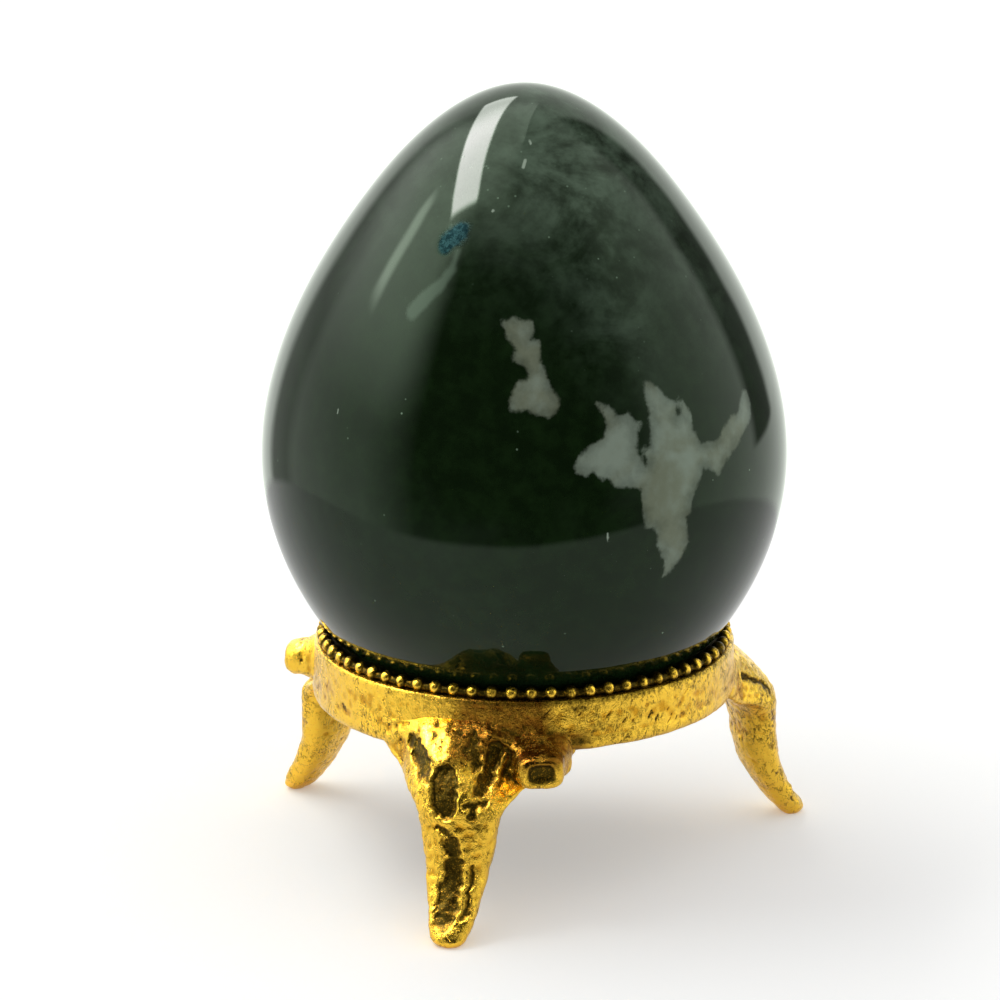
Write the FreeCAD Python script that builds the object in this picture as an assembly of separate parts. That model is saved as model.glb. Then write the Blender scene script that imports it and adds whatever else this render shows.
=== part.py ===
import FreeCAD, Part
import math
import os

# A polished stone egg that stands loose in a small gilt stand: a ring with a beaded rim on three cast legs.
# Millimetres, Z up. The origin is on the table, on the ring's axis, and the front leg stands towards -Y.

# Egg
egg_height = 59.96
egg_radius = 23.98
# Degrees between the upright and the egg's outline at its shoulder.
egg_shoulder_slope = 37.0
egg_belly_height_share = 0.429
egg_shoulder_height_share = 0.84
egg_shoulder_radius_share = 0.5805
# Lengths of the outline's handles, of the radius or height that each one follows.
crown_pull_share = 0.47
shoulder_rise_share = 0.198
shoulder_fall_share = 0.312
belly_rise_share = 0.3845
belly_fall_share = 0.4684
foot_pull_share = 0.5787

# Ring
ring_bore_radius = 16.66
ring_top_height = 20.48
ring_height = 5.08
ring_flare = 0.15
ring_lip_round = 0.8
ring_top_round = 0.25
ring_bore_round = 0.5
# The egg touches the ring's bevelled inner edge this far out from the bore and below the top face.
seat_inset = 0.22
seat_depth = 0.2
seat_clearance = 0.1

# Beaded rim wire
bead_radius = 0.68
bead_pitch = 1.76
bead_to_egg_clearance = 0.08
bead_centre_rise = 0.52
bead_inset = 0.85
wire_radius = 0.45

# Legs
leg_reach = 9.0
leg_spread = 18.8
knee_spread = 10.4
# The knee swells most this far to the left of the leg's middle, seen from the front.
knee_shift = 1.2
braze_gap = 0.05
# Degrees from the front, seen from above, counted towards +X. The castings were set by eye.
leg_angles = {"leg_front": 0.0, "leg_right": 125.1, "leg_left": -112.4}

# Scroll end beside each knee: its height over the ring's underside differs from leg to leg.
scroll_radius = 1.6
scroll_round = 1.0
scroll_reach = 3.7
scroll_root = 1.2
scroll_rises = {"leg_front": -0.85, "leg_right": 0.1, "leg_left": 0.9}
scroll_place_share = 0.706

# Level sections of a leg from the toe up. The height is a share of the ring's underside up to 1, and past 1
# a share of the ring's own height is added. Inner face, web face and knee face are shares of the reach,
# counted out from the ring's lip. The last number is the section's width as a share of the spread.
leg_section_shares = [
    (0, 0.75, 0.9, 0.9, 0.112),
    (0.023, 0.694, 0.956, 0.956, 0.154),
    (0.065, 0.622, 0.95, 0.95, 0.186),
    (0.143, 0.511, 0.872, 0.872, 0.223),
    (0.26, 0.372, 0.75, 0.75, 0.266),
    (0.39, 0.261, 0.661, 0.661, 0.303),
    (0.519, 0.206, 0.622, 0.622, 0.346),
    (0.649, 0.178, 0.6, 0.6, 0.383),
    (0.753, 0.117, 0.539, 0.594, 0.436),
    (0.825, 0.028, 0.35, 0.572, 0.537),
    (0.896, -0.083, 0.161, 0.517, 0.739),
    (0.961, -0.172, 0.083, 0.428, 0.904),
    (1.079, -0.194, 0.072, 0.335, 1),
    (1.276, -0.194, 0.061, 0.225, 0.915),
    (1.433, -0.194, 0.028, 0.125, 0.745),
    (1.63, -0.194, -0.061, -0.03, 0.404),
]
section_points = 16
section_fullness = 0.8
knee_fullness = 1.5
loft_degree = 3

full_turn = 360
# Limits of the search on the egg's outline and of the search for an edge.
search_width = 1e-12
edge_match = 1e-6


def point(radius, height):
    """A point on the plane through the axis and +X."""
    return FreeCAD.Vector(radius, 0, height)


def egg_arcs():
    """The egg's outline from crown to foot as three cubic arcs, above its own foot."""
    slope = math.radians(egg_shoulder_slope)
    belly = egg_height * egg_belly_height_share
    shoulder = egg_height * egg_shoulder_height_share
    shoulder_radius = egg_radius * egg_shoulder_radius_share
    rise = shoulder_radius * shoulder_rise_share
    fall = (shoulder - belly) * shoulder_fall_share
    outlines = [
        [
            point(0, egg_height),
            point(shoulder_radius * crown_pull_share, egg_height),
            point(shoulder_radius - rise * math.sin(slope), shoulder + rise * math.cos(slope)),
            point(shoulder_radius, shoulder),
        ],
        [
            point(shoulder_radius, shoulder),
            point(shoulder_radius + fall * math.sin(slope), shoulder - fall * math.cos(slope)),
            point(egg_radius, belly + (shoulder - belly) * belly_rise_share),
            point(egg_radius, belly),
        ],
        [
            point(egg_radius, belly),
            point(egg_radius, belly - belly * belly_fall_share),
            point(egg_radius * foot_pull_share, 0),
            point(0, 0),
        ],
    ]
    arcs = []
    for poles in outlines:
        arc = Part.BezierCurve()
        arc.setPoles(poles)
        arcs.append(arc)
    return arcs


def lower_outline_at(coordinate, value):
    """The point and the upward direction of the egg's lower outline where one coordinate has a value."""
    arc = egg_arcs()[2]
    low = 0
    high = 1
    while high - low > search_width:
        middle = (low + high) / 2
        if getattr(arc.value(middle), coordinate) > value:
            low = middle
        else:
            high = middle
    return arc.value(low), arc.tangent(low)[0] * -1


# Seat: the egg's height over the table follows from where its outline meets the ring's inner edge.
seat_radius = ring_bore_radius + seat_inset
seat_height = ring_top_height - seat_depth
seat_on_egg, seat_slope = lower_outline_at("x", seat_radius)
egg_foot_height = seat_height - seat_on_egg.z

# Rim: the beads stand clear of the egg, and the ring's outer face stands just outside their circle.
bead_centre_height = ring_top_height + bead_centre_rise
egg_beside_bead, bead_slope = lower_outline_at("z", bead_centre_height - egg_foot_height)
bead_ring_radius = egg_beside_bead.x + (bead_radius + bead_to_egg_clearance) / bead_slope.z
bead_count = round(2 * math.pi * bead_ring_radius / bead_pitch)
ring_radius = bead_ring_radius + bead_inset
ring_lip_radius = ring_radius + ring_flare
ring_underside_height = ring_top_height - ring_height


def solid_of_revolution(edges):
    face = Part.Face(Part.Wire(edges))
    return face.revolve(FreeCAD.Vector(0, 0, 0), FreeCAD.Vector(0, 0, 1), full_turn)


def closed_outline(points):
    ends = points[1:] + points[:1]
    return [Part.makeLine(start, end) for start, end in zip(points, ends)]


def circles_at(shape, radius, height):
    """The shape's round edges of one radius at one height."""
    found = []
    for edge in shape.Edges:
        if not isinstance(edge.Curve, Part.Circle):
            continue
        same_radius = math.isclose(edge.Curve.Radius, radius, rel_tol=edge_match)
        same_height = math.isclose(edge.Curve.Center.z, height, rel_tol=edge_match)
        if same_radius and same_height:
            found.append(edge)
    return found


def make_egg():
    edges = [arc.toShape() for arc in egg_arcs()]
    edges.append(Part.makeLine(point(0, 0), point(0, egg_height)))
    egg = solid_of_revolution(edges)
    egg.translate(FreeCAD.Vector(0, 0, egg_foot_height))
    return egg


def make_ring_band():
    """A flared ring whose inner top edge is bevelled along the egg."""
    bevel_radius = seat_radius + seat_clearance * seat_slope.z
    bevel_height = seat_height - seat_clearance * seat_slope.x
    lean = seat_slope.x / seat_slope.z
    bevel_top_radius = bevel_radius + (ring_top_height - bevel_height) * lean
    bevel_foot_height = bevel_height - (bevel_radius - ring_bore_radius) / lean
    ring = solid_of_revolution(closed_outline([
        point(ring_bore_radius, ring_underside_height),
        point(ring_lip_radius, ring_underside_height),
        point(ring_radius, ring_top_height),
        point(bevel_top_radius, ring_top_height),
        point(ring_bore_radius, bevel_foot_height),
    ]))
    rounds = [
        (ring_lip_round, ring_lip_radius, ring_underside_height),
        (ring_top_round, ring_radius, ring_top_height),
        (ring_bore_round, ring_bore_radius, ring_underside_height),
    ]
    for size, radius, height in rounds:
        ring = ring.makeFillet(size, circles_at(ring, radius, height))
    return ring


def make_beaded_wire():
    """A round wire with a row of beads, cut flat where it sits on the ring."""
    centre = FreeCAD.Vector(0, 0, bead_centre_height)
    wire = Part.makeTorus(bead_ring_radius, wire_radius, centre)
    beads = []
    for index in range(bead_count):
        angle = 2 * math.pi * index / bead_count
        place = polar(angle, bead_ring_radius, bead_centre_height)
        beads.append(Part.makeSphere(bead_radius, place))
    below = Part.makeCylinder(ring_lip_radius + bead_radius, ring_top_height)
    return wire.multiFuse(beads).cut(below)


def polar(angle, radius, height):
    """A point by its angle from the front, towards +X, and its distance from the axis."""
    return FreeCAD.Vector(radius * math.sin(angle), -radius * math.cos(angle), height)


def section_height(share):
    below = min(share, 1) * ring_underside_height
    above = max(share - 1, 0) * ring_height
    return below + above


def knee_swell(offset):
    """How much of the knee's rise is left at a distance to the side of the leg's middle."""
    ratio = (offset + knee_shift) / (knee_spread / 2)
    return (1 - ratio * ratio) ** knee_fullness if abs(ratio) < 1 else 0


def leg_section(shares):
    """One level section of a leg that stands at the front, bent round the ring's axis."""
    height_share, inner_share, web_share, knee_share, width_share = shares
    inner = ring_lip_radius + leg_reach * inner_share
    web = ring_lip_radius + leg_reach * web_share
    swell = leg_reach * (knee_share - web_share)
    middle = (inner + web) / 2
    half_width = leg_spread / 2 * width_share
    points = []
    for index in range(section_points):
        turn = 2 * math.pi * index / section_points
        offset = half_width * math.cos(turn)
        depth = (web - middle) * math.copysign(abs(math.sin(turn)) ** section_fullness, math.sin(turn))
        if math.sin(turn) > 0:
            depth += swell * knee_swell(offset)
        points.append(polar(offset / middle, middle + depth, section_height(height_share)))
    curve = Part.BSplineCurve()
    curve.interpolate(Points=points, PeriodicFlag=True)
    return Part.Wire(curve.toShape())


def scroll_end(rise):
    """The round-ended scroll at the right of the front leg's knee."""
    angle = leg_spread / 2 * scroll_place_share / ring_lip_radius
    height = ring_underside_height + rise
    root = polar(angle, ring_lip_radius - scroll_root, height)
    way = polar(angle, 1, 0)
    scroll = Part.makeCylinder(scroll_radius, scroll_root + scroll_reach, root, way)
    tip = polar(angle, ring_lip_radius + scroll_reach, height)
    ends = [edge for edge in scroll.Edges if isinstance(edge.Curve, Part.Circle)]
    far_end = min(ends, key=lambda edge: edge.Curve.Center.distanceToPoint(tip))
    return scroll.makeFillet(scroll_round, [far_end])


def ring_envelope():
    """The room that the ring takes, widened by the brazing gap and filled to the axis."""
    foot = ring_underside_height - braze_gap
    return solid_of_revolution(closed_outline([
        point(0, foot),
        point(ring_lip_radius + braze_gap, foot),
        point(ring_radius + braze_gap, ring_top_height),
        point(0, ring_top_height),
    ]))


def make_leg(angle, rise):
    """One cast leg, shaped at the front and then turned to its place."""
    sections = [leg_section(shares) for shares in leg_section_shares]
    leg = Part.makeLoft(sections, True, False, False, loft_degree)
    leg = leg.fuse(scroll_end(rise)).cut(ring_envelope())
    leg.rotate(FreeCAD.Vector(0, 0, 0), FreeCAD.Vector(0, 0, 1), angle)
    return leg


def main():
    os.makedirs("parts", exist_ok=True)
    pieces = {
        "egg": make_egg(),
        "ring_band": make_ring_band(),
        "beaded_wire": make_beaded_wire(),
    }
    for name, angle in leg_angles.items():
        pieces[name] = make_leg(angle, scroll_rises[name])
    for name, piece in pieces.items():
        piece.exportStep("parts/" + name + ".step")
        print(name, len(piece.Solids), piece.isValid(), round(piece.Volume, 2), piece.BoundBox)


main()
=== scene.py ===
"""A polished stone egg on its small gilt stand: the finished looks of each piece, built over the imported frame."""

import math
from functools import partialmethod

import bpy
import numpy as np
from bpy.props import FloatProperty, FloatVectorProperty, IntProperty, PointerProperty
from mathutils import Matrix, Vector, noise


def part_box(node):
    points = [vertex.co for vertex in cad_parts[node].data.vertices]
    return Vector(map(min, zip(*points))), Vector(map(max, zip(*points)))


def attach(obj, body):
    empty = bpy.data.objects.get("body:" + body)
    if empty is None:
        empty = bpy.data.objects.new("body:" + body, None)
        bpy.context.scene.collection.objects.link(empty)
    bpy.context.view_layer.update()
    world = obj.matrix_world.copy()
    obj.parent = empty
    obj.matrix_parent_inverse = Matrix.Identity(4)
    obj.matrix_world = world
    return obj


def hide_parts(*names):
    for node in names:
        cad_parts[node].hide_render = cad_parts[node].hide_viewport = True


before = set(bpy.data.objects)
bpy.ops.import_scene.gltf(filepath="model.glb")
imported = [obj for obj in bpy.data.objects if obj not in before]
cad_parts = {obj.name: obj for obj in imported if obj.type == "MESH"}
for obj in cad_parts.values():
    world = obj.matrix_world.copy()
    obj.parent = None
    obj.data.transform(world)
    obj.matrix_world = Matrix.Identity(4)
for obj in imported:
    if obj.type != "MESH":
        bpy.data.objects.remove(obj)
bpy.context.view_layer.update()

bl_info = {
    "name": "Stone egg on a gilt stand",
    "version": (1, 0, 0),
    "blender": (4, 5, 0),
    "location": "3D View > Sidebar > Egg stand",
    "description": "Builds a polished stone egg, its beaded ring and three cast legs",
    "category": "Add Mesh",
}

MM = 0.001

egg_low, egg_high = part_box("egg")
ring_low, ring_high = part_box("ring_band")
_, wire_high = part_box("beaded_wire")

# Corners of the egg's outline as shares of its height and radius, and its slope at the shoulder.
BELLY_SHARE = 0.429
SHOULDER_SHARE = 0.84
SHOULDER_RADIUS_SHARE = 0.5805
SHOULDER_SLOPE = math.radians(37.0)
# How far the handles of its arcs reach, as shares of the radius or height beside them.
FOOT_OUT, BELLY_DOWN, BELLY_UP = 0.5787, 0.4684, 0.3845
SHOULDER_DOWN, SHOULDER_UP, CROWN_OUT = 0.312, 0.198, 0.47

# Level sections of a leg from the toe up: height, inner face, web, knee and width, as shares.
LEG_SECTIONS = np.array([
    (0, 0.75, 0.9, 0.9, 0.112),
    (0.023, 0.694, 0.956, 0.956, 0.154),
    (0.065, 0.622, 0.95, 0.95, 0.186),
    (0.143, 0.511, 0.872, 0.872, 0.223),
    (0.26, 0.372, 0.75, 0.75, 0.266),
    (0.39, 0.261, 0.661, 0.661, 0.303),
    (0.519, 0.206, 0.622, 0.622, 0.346),
    (0.649, 0.178, 0.6, 0.6, 0.383),
    (0.753, 0.117, 0.539, 0.594, 0.436),
    (0.825, 0.028, 0.35, 0.572, 0.537),
    (0.896, -0.083, 0.161, 0.517, 0.739),
    (0.961, -0.172, 0.083, 0.428, 0.904),
    (1.079, -0.194, 0.072, 0.335, 1),
    (1.276, -0.194, 0.061, 0.225, 0.915),
    (1.433, -0.194, 0.028, 0.125, 0.745),
    (1.63, -0.194, -0.061, -0.03, 0.404),
])
LEG_ANGLES = {"leg_front": 0.0, "leg_right": 125.1, "leg_left": -112.4}
SCROLL_RISES = {"leg_front": -0.45, "leg_right": 0.1, "leg_left": 0.9}

# Relief of the casting: angle from the leg's middle in degrees and height in mm of each end, half width in mm,
# how far it stands out (or in, below 0) in mm, and how much patina is left on it.
CAST_PATTERN = [
    (-2.9, 14.2, -2.2, 12.2, 1.2, -0.5, 1.0),
    (2.4, 12.1, 5.4, 12.4, 0.34, -0.22, 0.95),
    (4.2, 12.0, 3.9, 11.2, 0.42, -0.22, 0.95),
    (-3.8, 10.1, -1.2, 9.9, 0.24, -0.25, 0.9),
    (-0.6, 9.0, -0.4, 8.0, 0.60, -0.3, 1.0),
    (0.0, 7.0, -0.4, 4.6, 0.76, -0.34, 1.0),
    (-0.4, 4.8, -0.6, 2.3, 0.86, -0.34, 1.0),
    (3.8, 6.6, 2.7, 2.4, 0.16, -0.28, 0.95),
]
LEG_RELIEF = {
    "leg_front": CAST_PATTERN + [
        (-14.9, 16.3, -12.2, 15.9, 0.70, -0.35, 0.85),
        (-12.4, 15.9, -9.2, 14.7, 0.85, -0.45, 1.0),
        (-8.6, 15.0, -6.6, 14.0, 0.30, -0.25, 0.8),
        (7.4, 16.7, 6.2, 14.4, 0.55, -0.38, 1.0),
        (6.2, 14.6, 3.9, 13.4, 0.42, -0.38, 1.0),
        (10.6, 15.6, 8.2, 13.6, 0.18, -0.15, 0.8),
        (1.4, 17.0, 3.4, 15.2, 0.60, -0.35, 0.75),
        (2.2, 19.2, 6.4, 18.5, 0.35, -0.10, 0.75),
        (-4.4, 18.1, -1.5, 17.7, 0.18, -0.12, 0.6),
        (9.0, 18.2, 15.0, 18.0, 0.55, -0.12, 0.62),
        (-11.5, 17.6, -4.4, 15.2, 0.60, 0.34, 0.0),
        (-6.5, 18.0, -2.0, 16.0, 0.55, 0.24, 0.0),
        (6.0, 17.6, 12.4, 16.9, 0.55, 0.42, 0.0),
        (9.2, 15.6, 7.2, 13.2, 0.30, 0.22, 0.0),
    ],
    "leg_right": CAST_PATTERN + [
        (-16.4, 16.0, -12.9, 15.3, 0.24, -0.45, 1.0),
        (-12.9, 15.3, -9.9, 13.9, 0.30, -0.45, 1.0),
        (-15.6, 17.0, -8.8, 15.4, 0.45, 0.40, 0.0),
        (-15.4, 14.9, -8.2, 13.2, 0.50, 0.42, 0.0),
        (-9.4, 11.4, -7.8, 10.5, 0.15, -0.20, 0.75),
        (-8.2, 9.2, -7.4, 7.4, 0.13, -0.18, 0.70),
        (-3.9, 6.6, -3.2, 6.2, 0.18, -0.20, 0.8),
        (-6.0, 4.8, -5.7, 4.7, 0.22, -0.20, 0.9),
        (-4.6, 2.2, -4.2, 1.6, 0.18, -0.15, 0.7),
    ],
    "leg_left": CAST_PATTERN + [
        (8.3, 8.6, 7.6, 6.6, 0.22, -0.28, 0.7),
        (6.9, 5.4, 6.1, 4.6, 0.24, -0.24, 0.8),
        (9.6, 13.8, 8.6, 11.0, 0.16, -0.20, 0.6),
        (7.4, 16.7, 6.2, 14.4, 0.55, -0.38, 0.9),
        (-14.9, 16.3, -10.2, 15.3, 0.70, -0.35, 0.8),
        (6.0, 17.6, 12.4, 16.9, 0.55, 0.42, 0.0),
    ],
}
# The scroll end on each leg: its section's power (1 is round, less is squarer), half its width and height in mm,
# how far it is shifted sideways, how deep its dome is, and how much of its face is flat.
SCROLL_SHAPES = {
    "leg_front": (0.66, 2.05, 1.5, -0.55, 0.9, 0.60),
    "leg_right": (0.80, 1.75, 1.6, 0.0, 1.3, 0.52),
    "leg_left": (0.85, 1.75, 1.6, 0.0, 1.5, 0.50),
}

# Grey-white inclusions in the stone: outlines as angle from the front in degrees and height in mm.
BRANCHING_PATCH = [
    (30.9, 48.5), (34.8, 47.9), (35.4, 47.3), (38.4, 47.5), (40.0, 46.6), (41.2, 46.5), (39.4, 45.3),
    (39.6, 43.9), (40.7, 42.7), (41.7, 43.3), (40.5, 44.6), (42.5, 44.2), (43.5, 46.9), (43.1, 49.7),
    (44.5, 49.9), (46.9, 49.2), (48.9, 48.0), (51.4, 47.7), (50.4, 46.5), (51.8, 46.8), (52.2, 48.2),
    (54.5, 46.9), (54.3, 45.2), (56.2, 43.7), (60.1, 43.7), (63.3, 44.4), (67.2, 45.4), (69.9, 45.3),
    (73.8, 47.1), (76.0, 46.9), (74.9, 44.7), (69.2, 43.1), (62.9, 41.8), (60.3, 40.8), (55.9, 41.8),
    (54.4, 40.5), (52.3, 39.0), (52.1, 37.8), (50.8, 37.5), (51.6, 35.2), (50.5, 33.8), (47.9, 32.9),
    (46.1, 32.2), (45.9, 33.7), (43.7, 35.7), (43.4, 37.1), (40.7, 37.2), (40.0, 39.4), (39.6, 40.7),
    (35.6, 41.4), (34.0, 41.3), (31.6, 42.3), (30.8, 41.8), (29.0, 42.7), (27.5, 42.3), (25.2, 42.8),
    (25.7, 44.1), (28.2, 44.8), (31.5, 45.5), (32.8, 46.6),
]
WAISTED_PATCH = [
    (8.1, 55.3), (10.9, 55.5), (14.0, 55.3), (16.4, 55.4), (17.4, 54.6), (15.9, 53.8), (18.2, 53.7),
    (18.3, 52.3), (19.8, 51.0), (20.3, 50.2), (22.2, 49.1), (22.4, 48.3), (20.4, 47.6), (17.8, 47.7),
    (14.8, 48.1), (11.3, 48.0), (10.7, 48.4), (11.5, 49.9), (13.1, 50.6), (14.8, 50.5), (15.4, 50.8),
    (14.2, 51.7), (11.6, 52.0), (11.9, 53.0), (9.8, 54.0),
]
# A second set of inclusions for the side that the photograph doesn't show.
BACK_PATCHES = [
    [(148, 45.2), (150, 47.6), (153, 47.4), (154.5, 51.2), (156.5, 49.4), (160, 49.8), (159, 47.2), (163, 46.0),
     (168, 47.8), (172, 50.6), (174, 49.4), (171, 46.2), (166.5, 44.0), (163, 43.4), (163.5, 40.2), (161, 37.4),
     (159.6, 34.2), (157.6, 38.0), (155.8, 38.2), (154, 41.6), (151, 41.2), (150.5, 43.6)],
    [(-106, 52.0), (-103, 53.2), (-102, 56.4), (-98.5, 54.2), (-95, 54.4), (-96, 51.2), (-93, 49.4), (-96.5, 47.6),
     (-98, 44.2), (-100, 46.8), (-103.5, 47.2), (-102, 49.8)],
    [(-162, 34.0), (-158, 35.0), (-157.5, 37.2), (-153.5, 35.6), (-149, 37.0), (-147.5, 34.4), (-150, 32.6),
     (-149.5, 30.4), (-153.5, 31.4), (-158, 30.8), (-157.5, 32.6)],
]

# Strokes on the stone by the name of the value that each kind is stored as: pale marks, a curved vein, a blue spot
# and a chipped edge. Both ends are given as angle and height, then half the width in mm.
EGG_STROKES = {
    "mark": [
        (32.1, 37.1, 32.5, 36.3, 0.17), (-32.3, 46.5, -31.9, 46.1, 0.12), (13.6, 67.0, 14.6, 67.5, 0.14),
        (2.0, 63.7, 2.3, 63.7, 0.13), (17.4, 68.9, 18.0, 68.7, 0.1), (-17.9, 48.6, -17.8, 48.6, 0.08),
    ],
    "vein": [
        (-7.9, 60.4, -8.4, 59.0, 0.30), (-8.4, 59.0, -10.9, 57.7, 0.43), (-10.9, 57.7, -14.4, 56.6, 0.56),
        (-14.4, 56.6, -17.2, 55.4, 0.69),
    ],
    "blue": [(-12.6, 61.0, -8.6, 61.9, 0.95)],
    "chip": [(-65.0, 47.2, -64.0, 45.4, 0.35)],
}
FAR_OUTSIDE = -9.0
BLUE_SHADES = ((0.0020, 0.0070, 0.0075, 1), (0.0068, 0.0200, 0.0200, 1))
CHIP_SHADE = (0.003, 0.004, 0.003, 1)

# The ring in mm: its bore, how far its lip stands out past the upper edge, the radius at which strokes on its face
# are measured, and the spacing of its points.
RING_BORE = 16.66
RING_FLARE = 0.15
RING_FACE = 19.4
RING_MESH_STEP = 0.16
SCRATCH_COUNT = 44
# Patches of patina on the ring: angle and height of the middle, how far they reach each way, and strength.
RING_SMUDGES = [(30, 16.6, 5, 0.7, 0.62), (29, 19.7, 7, 0.5, 0.66), (-24, 16.9, 6, 0.5, 0.5), (36, 17.8, 7, 1.1, 0.5)]
WIRE_RADIUS = 0.36

# The legs in mm: the radius at which their relief is measured, the knee's swell, the place and reach of the scroll
# end, and the flange's inner radius and half its angle.
LEG_FACE = 24.0
KNEE_SHIFT, KNEE_HALF_SPREAD, KNEE_FULLNESS = 1.2, 5.2, 1.5
SECTION_FULLNESS = 0.8
SCROLL_PLACE_SHARE = 0.706
SCROLL_REACH = 3.7
FLANGE_BACK = 17.4
FLANGE_HALF_SPREAD = math.radians(28)

# Voxels that the castings are melted into, in mm, and depths of the leaf's grain, in metres.
RIM_VOXEL, LEG_VOXEL = 0.085, 0.12
BEAD_GRAIN, CAST_GRAIN = 0.00006, 0.00012

# Brightness of the room's walls by angle from the front towards +X, in degrees, and of its window.
WALL_LEVELS = [
    (-180, 1.5), (-134, 1.5), (-127, 0.50), (-112, 0.62), (-104, 1.15), (-84, 1.4), (-60, 1.35), (-46, 0.75),
    (-34, 0.05), (48, 0.03), (66, 0.28), (84, 1.15), (112, 1.45), (131, 1.4), (137, 0.20), (153, 0.18),
    (158, 1.5), (180, 1.5),
]
WINDOW_LEVEL = 27.0
FLOOR_RADIUS = 3000
# Where the camera aims: metres across its view from the axis, and above the table.
AIM_ASIDE, AIM_HEIGHT = -0.00222, 0.03346


def length_property(name, description, default, smallest):
    return FloatProperty(name=name, description=description, default=default, min=smallest, unit="LENGTH")


def color_property(name, description, default):
    return FloatVectorProperty(
        name=name, description=description, subtype="COLOR", size=3, min=0, max=1, default=default)


class EggSettings(bpy.types.PropertyGroup):
    height: length_property("Height", "Height of the egg from foot to crown", egg_high.z - egg_low.z, 0.01)
    radius: length_property("Radius", "Radius of the egg at its belly", (egg_high.x - egg_low.x) / 2, 0.005)
    body_color: color_property("Body", "Colour of the dark green stone", (0.0030, 0.0080, 0.0020))
    cloud_color: color_property("Clouds", "Colour of the milky clouds in the stone", (0.080, 0.117, 0.082))
    inclusion_color: color_property("Inclusions", "Colour of the grey-white inclusions", (0.205, 0.250, 0.200))
    polish: FloatProperty(
        name="Roughness", description="Roughness of the polished surface",
        subtype="FACTOR", min=0, max=1, default=0.035)


class StandSettings(bpy.types.PropertyGroup):
    bead_radius: length_property("Bead radius", "Radius of one bead of the rim", 0.00068, 0.0001)
    bead_count: IntProperty(
        name="Beads", description="Number of beads round the rim", default=66, min=6)
    leg_reach: length_property("Leg reach", "How far a leg stands out from the ring", 0.009, 0.001)
    leg_spread: length_property("Leg spread", "Width of a leg where it meets the ring", 0.0188, 0.001)
    gold_color: color_property("Gold", "Colour of the bright gilding", (1.0, 0.61, 0.060))
    deep_gold_color: color_property("Deep gold", "Colour of the thicker, redder gilding", (0.66, 0.33, 0.020))
    # The patina colour also paints the shade inside and under the beads and on their lower and inner sides.
    patina_and_shade_color: color_property("Patina", "Colour of the dark patina in the hollows", (0.050, 0.034, 0.0035))
    # The heat tint's colour also paints the dark reflection that the band and knee show over the front leg.
    tint_color: color_property("Heat tint and reflection", "Colour of the coppery patch over the front leg", (0.20, 0.078, 0.0075))


class StageSettings(bpy.types.PropertyGroup):
    azimuth: FloatProperty(
        name="Azimuth", description="Camera's angle round the object, from the front leg towards +X",
        subtype="ANGLE", default=math.radians(14.6))
    elevation: FloatProperty(
        name="Elevation", description="Camera's angle above the horizon",
        subtype="ANGLE", default=math.radians(16.5))
    distance: length_property("Distance", "Camera's distance from its aim", 0.5, 0.05)
    lens: FloatProperty(
        name="Focal length", description="Camera's focal length in millimetres",
        default=196.73, min=10)
    floor_color: color_property("Floor", "Colour of the paper that the stand is on", (0.93, 0.93, 0.93))


# ---- Mesh helpers ----

def make_object(name, points, faces):
    """A smooth-shaded object from points in millimetres."""
    mesh = bpy.data.meshes.new(name)
    mesh.from_pydata((np.asarray(points) * MM).tolist(), [], faces)
    mesh.validate()
    mesh.shade_smooth()
    piece = bpy.data.objects.new(name, mesh)
    bpy.context.scene.collection.objects.link(piece)
    return piece


def turned(radius, turn, height):
    """Points at a distance from the axis, turned from the front towards +X."""
    return np.stack(np.broadcast_arrays(radius * np.sin(turn), -radius * np.cos(turn), height), -1)


def full_turn(steps):
    return np.linspace(0, 2 * math.pi, steps, endpoint=False)


def fan_faces(centre, ring_start, columns, upward):
    faces = []
    for column in range(columns):
        a, b = ring_start + column, ring_start + (column + 1) % columns
        faces.append((centre, a, b) if upward else (centre, b, a))
    return faces


def grid_faces(rows, columns, first=0):
    """Quads between rows of points that close on themselves."""
    faces = []
    for row in range(rows - 1):
        here = first + row * columns
        for column in range(columns):
            after = (column + 1) % columns
            faces.append((here + column, here + after, here + columns + after, here + columns + column))
    return faces


def capped_faces(rows, columns):
    """Faces of rows of points that are followed by the centre points of the first and last row."""
    count = rows * columns
    return (grid_faces(rows, columns) + fan_faces(count, 0, columns, False)
            + fan_faces(count + 1, count - columns, columns, True))


def hoop_faces(columns, rows, first=0, closed=True):
    """Quads round a hoop of closed sections."""
    faces = []
    for column in range(columns if closed else columns - 1):
        here, after = first + column * rows, first + (column + 1) % columns * rows
        for row in range(rows):
            above = (row + 1) % rows
            faces.append((here + row, after + row, after + above, here + above))
    return faces


def fuse_surface(piece, voxel):
    """Melts overlapping closed shapes into one cast skin."""
    remesh = piece.modifiers.new("cast skin", "REMESH")
    remesh.mode = "VOXEL"
    remesh.voxel_size = voxel * MM
    remesh.use_smooth_shade = True
    fused = bpy.data.meshes.new_from_object(piece.evaluated_get(bpy.context.evaluated_depsgraph_get()))
    piece.modifiers.clear()
    fused.name = piece.name
    piece.data = fused
    fused.shade_smooth()


def read_mesh(items, key, width, kind=float):
    flat = np.empty(len(items) * width, dtype=kind)
    items.foreach_get(key, flat)
    return flat.reshape(-1, width)


def mesh_points(piece):
    return read_mesh(piece.data.vertices, "co", 3) / MM


def mesh_normals(piece):
    return read_mesh(piece.data.vertex_normals, "vector", 3)


def mesh_edges(piece):
    return read_mesh(piece.data.edges, "vertices", 2, np.int64)


def set_points(piece, points):
    piece.data.vertices.foreach_set("co", (points * MM).ravel())
    piece.data.update()


def polar(points):
    """Each point's distance from the axis, and its angle in radians from the front towards +X."""
    return np.hypot(points[:, 0], points[:, 1]), np.arctan2(points[:, 0], -points[:, 1])


def facing_out(piece):
    """How squarely the surface faces away from the axis at each point, from -1 to 1."""
    points = mesh_points(piece)
    return (mesh_normals(piece)[:, :2] * points[:, :2]).sum(1) / polar(points)[0]


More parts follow.
